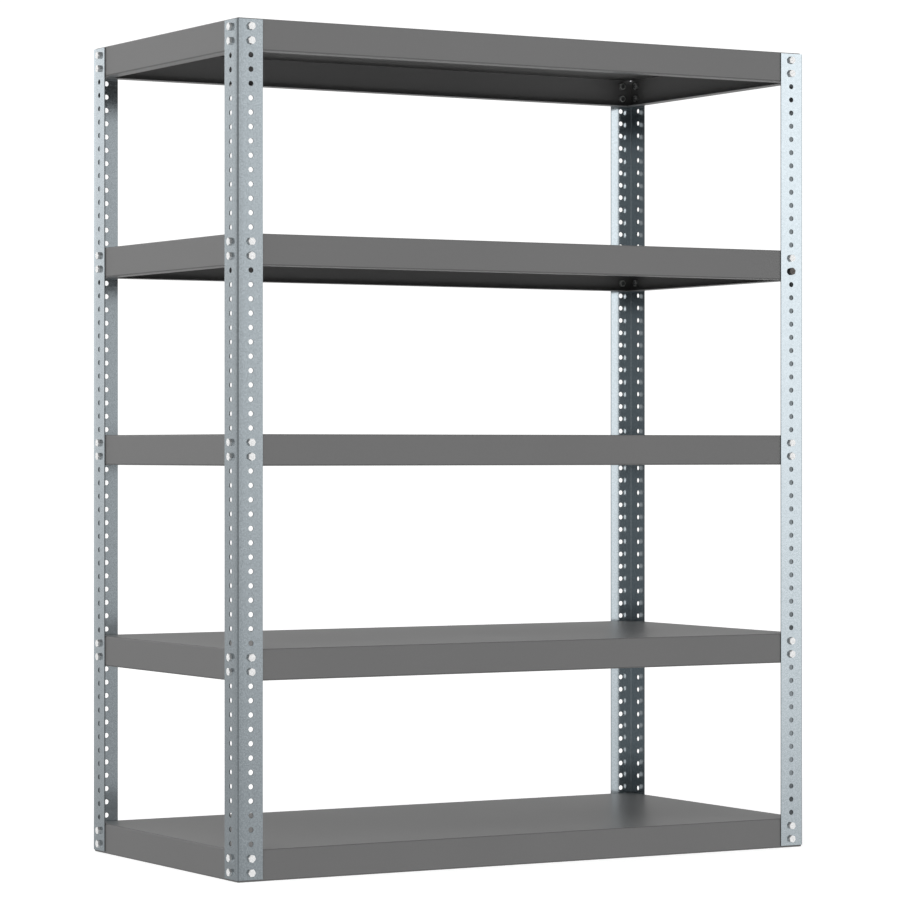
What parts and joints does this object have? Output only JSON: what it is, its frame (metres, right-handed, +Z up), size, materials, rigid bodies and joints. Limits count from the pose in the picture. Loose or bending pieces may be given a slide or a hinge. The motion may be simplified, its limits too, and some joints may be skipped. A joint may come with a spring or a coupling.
{
  "type": "bolted steel shelving unit",
  "caption": "Free-standing steel shelving: perforated angle posts carry flat pan shelves with folded skirts and lips, held by hex bolts and nuts at every corner.",
  "frame": {"origin": "centre of the footprint at floor level, on the plane of the bottom shelf's lips", "axes": "+Z up; +X to the right along the shelves' long side; +Y to the back, so that the front faces -Y"},
  "size_m": [1.2298, 0.6202, 1.5297],
  "materials": {
    "galvanised_posts": "bright galvanised, cool grey with a fine speckle",
    "grey_shelves": "satin medium grey enamel",
    "zinc_bolts": "clear zinc plate, satin",
    "zinc_nuts": "clear zinc plate, satin",
    "black_bolt": "black oxide, low sheen"
  },
  "bodies": {
    "root": {"post_front_left": "galvanised_posts", "post_front_right": "galvanised_posts", "post_rear_left": "galvanised_posts", "post_rear_right": "galvanised_posts", "shelf_1": "grey_shelves", "shelf_2": "grey_shelves", "shelf_3": "grey_shelves", "shelf_4": "grey_shelves", "shelf_5": "grey_shelves", "bolts_shelf_1_front_left": "zinc_bolts", "nuts_shelf_1_front_left": "zinc_nuts", "bolts_shelf_1_front_right": "zinc_bolts", "nuts_shelf_1_front_right": "zinc_nuts", "bolts_shelf_1_rear_left": "zinc_bolts", "nuts_shelf_1_rear_left": "zinc_nuts", "bolts_shelf_1_rear_right": "zinc_bolts", "nuts_shelf_1_rear_right": "zinc_nuts", "bolts_shelf_2_front_left": "zinc_bolts", "nuts_shelf_2_front_left": "zinc_nuts", "bolts_shelf_2_front_right": "zinc_bolts", "nuts_shelf_2_front_right": "zinc_nuts", "bolts_shelf_2_rear_left": "zinc_bolts", "nuts_shelf_2_rear_left": "zinc_nuts", "bolts_shelf_2_rear_right": "zinc_bolts", "nuts_shelf_2_rear_right": "zinc_nuts", "bolts_shelf_3_front_left": "zinc_bolts", "nuts_shelf_3_front_left": "zinc_nuts", "bolts_shelf_3_front_right": "zinc_bolts", "nuts_shelf_3_front_right": "zinc_nuts", "bolts_shelf_3_rear_left": "zinc_bolts", "nuts_shelf_3_rear_left": "zinc_nuts", "bolts_shelf_3_rear_right": "zinc_bolts", "nuts_shelf_3_rear_right": "zinc_nuts", "bolts_shelf_4_front_left": "zinc_bolts", "nuts_shelf_4_front_left": "zinc_nuts", "bolts_shelf_4_front_right": "zinc_bolts", "nuts_shelf_4_front_right": "zinc_nuts", "bolts_shelf_4_rear_left": "zinc_bolts", "nuts_shelf_4_rear_left": "zinc_nuts", "bolts_shelf_4_rear_right": "zinc_bolts", "nuts_shelf_4_rear_right": "zinc_nuts", "bolts_shelf_5_front_left": "zinc_bolts", "nuts_shelf_5_front_left": "zinc_nuts", "bolts_shelf_5_front_right": "zinc_bolts", "nuts_shelf_5_front_right": "zinc_nuts", "bolts_shelf_5_rear_left": "zinc_bolts", "nuts_shelf_5_rear_left": "zinc_nuts", "bolts_shelf_5_rear_right": "zinc_bolts", "nuts_shelf_5_rear_right": "zinc_nuts", "black_bolt": "black_bolt"}
  },
  "joints": []
}
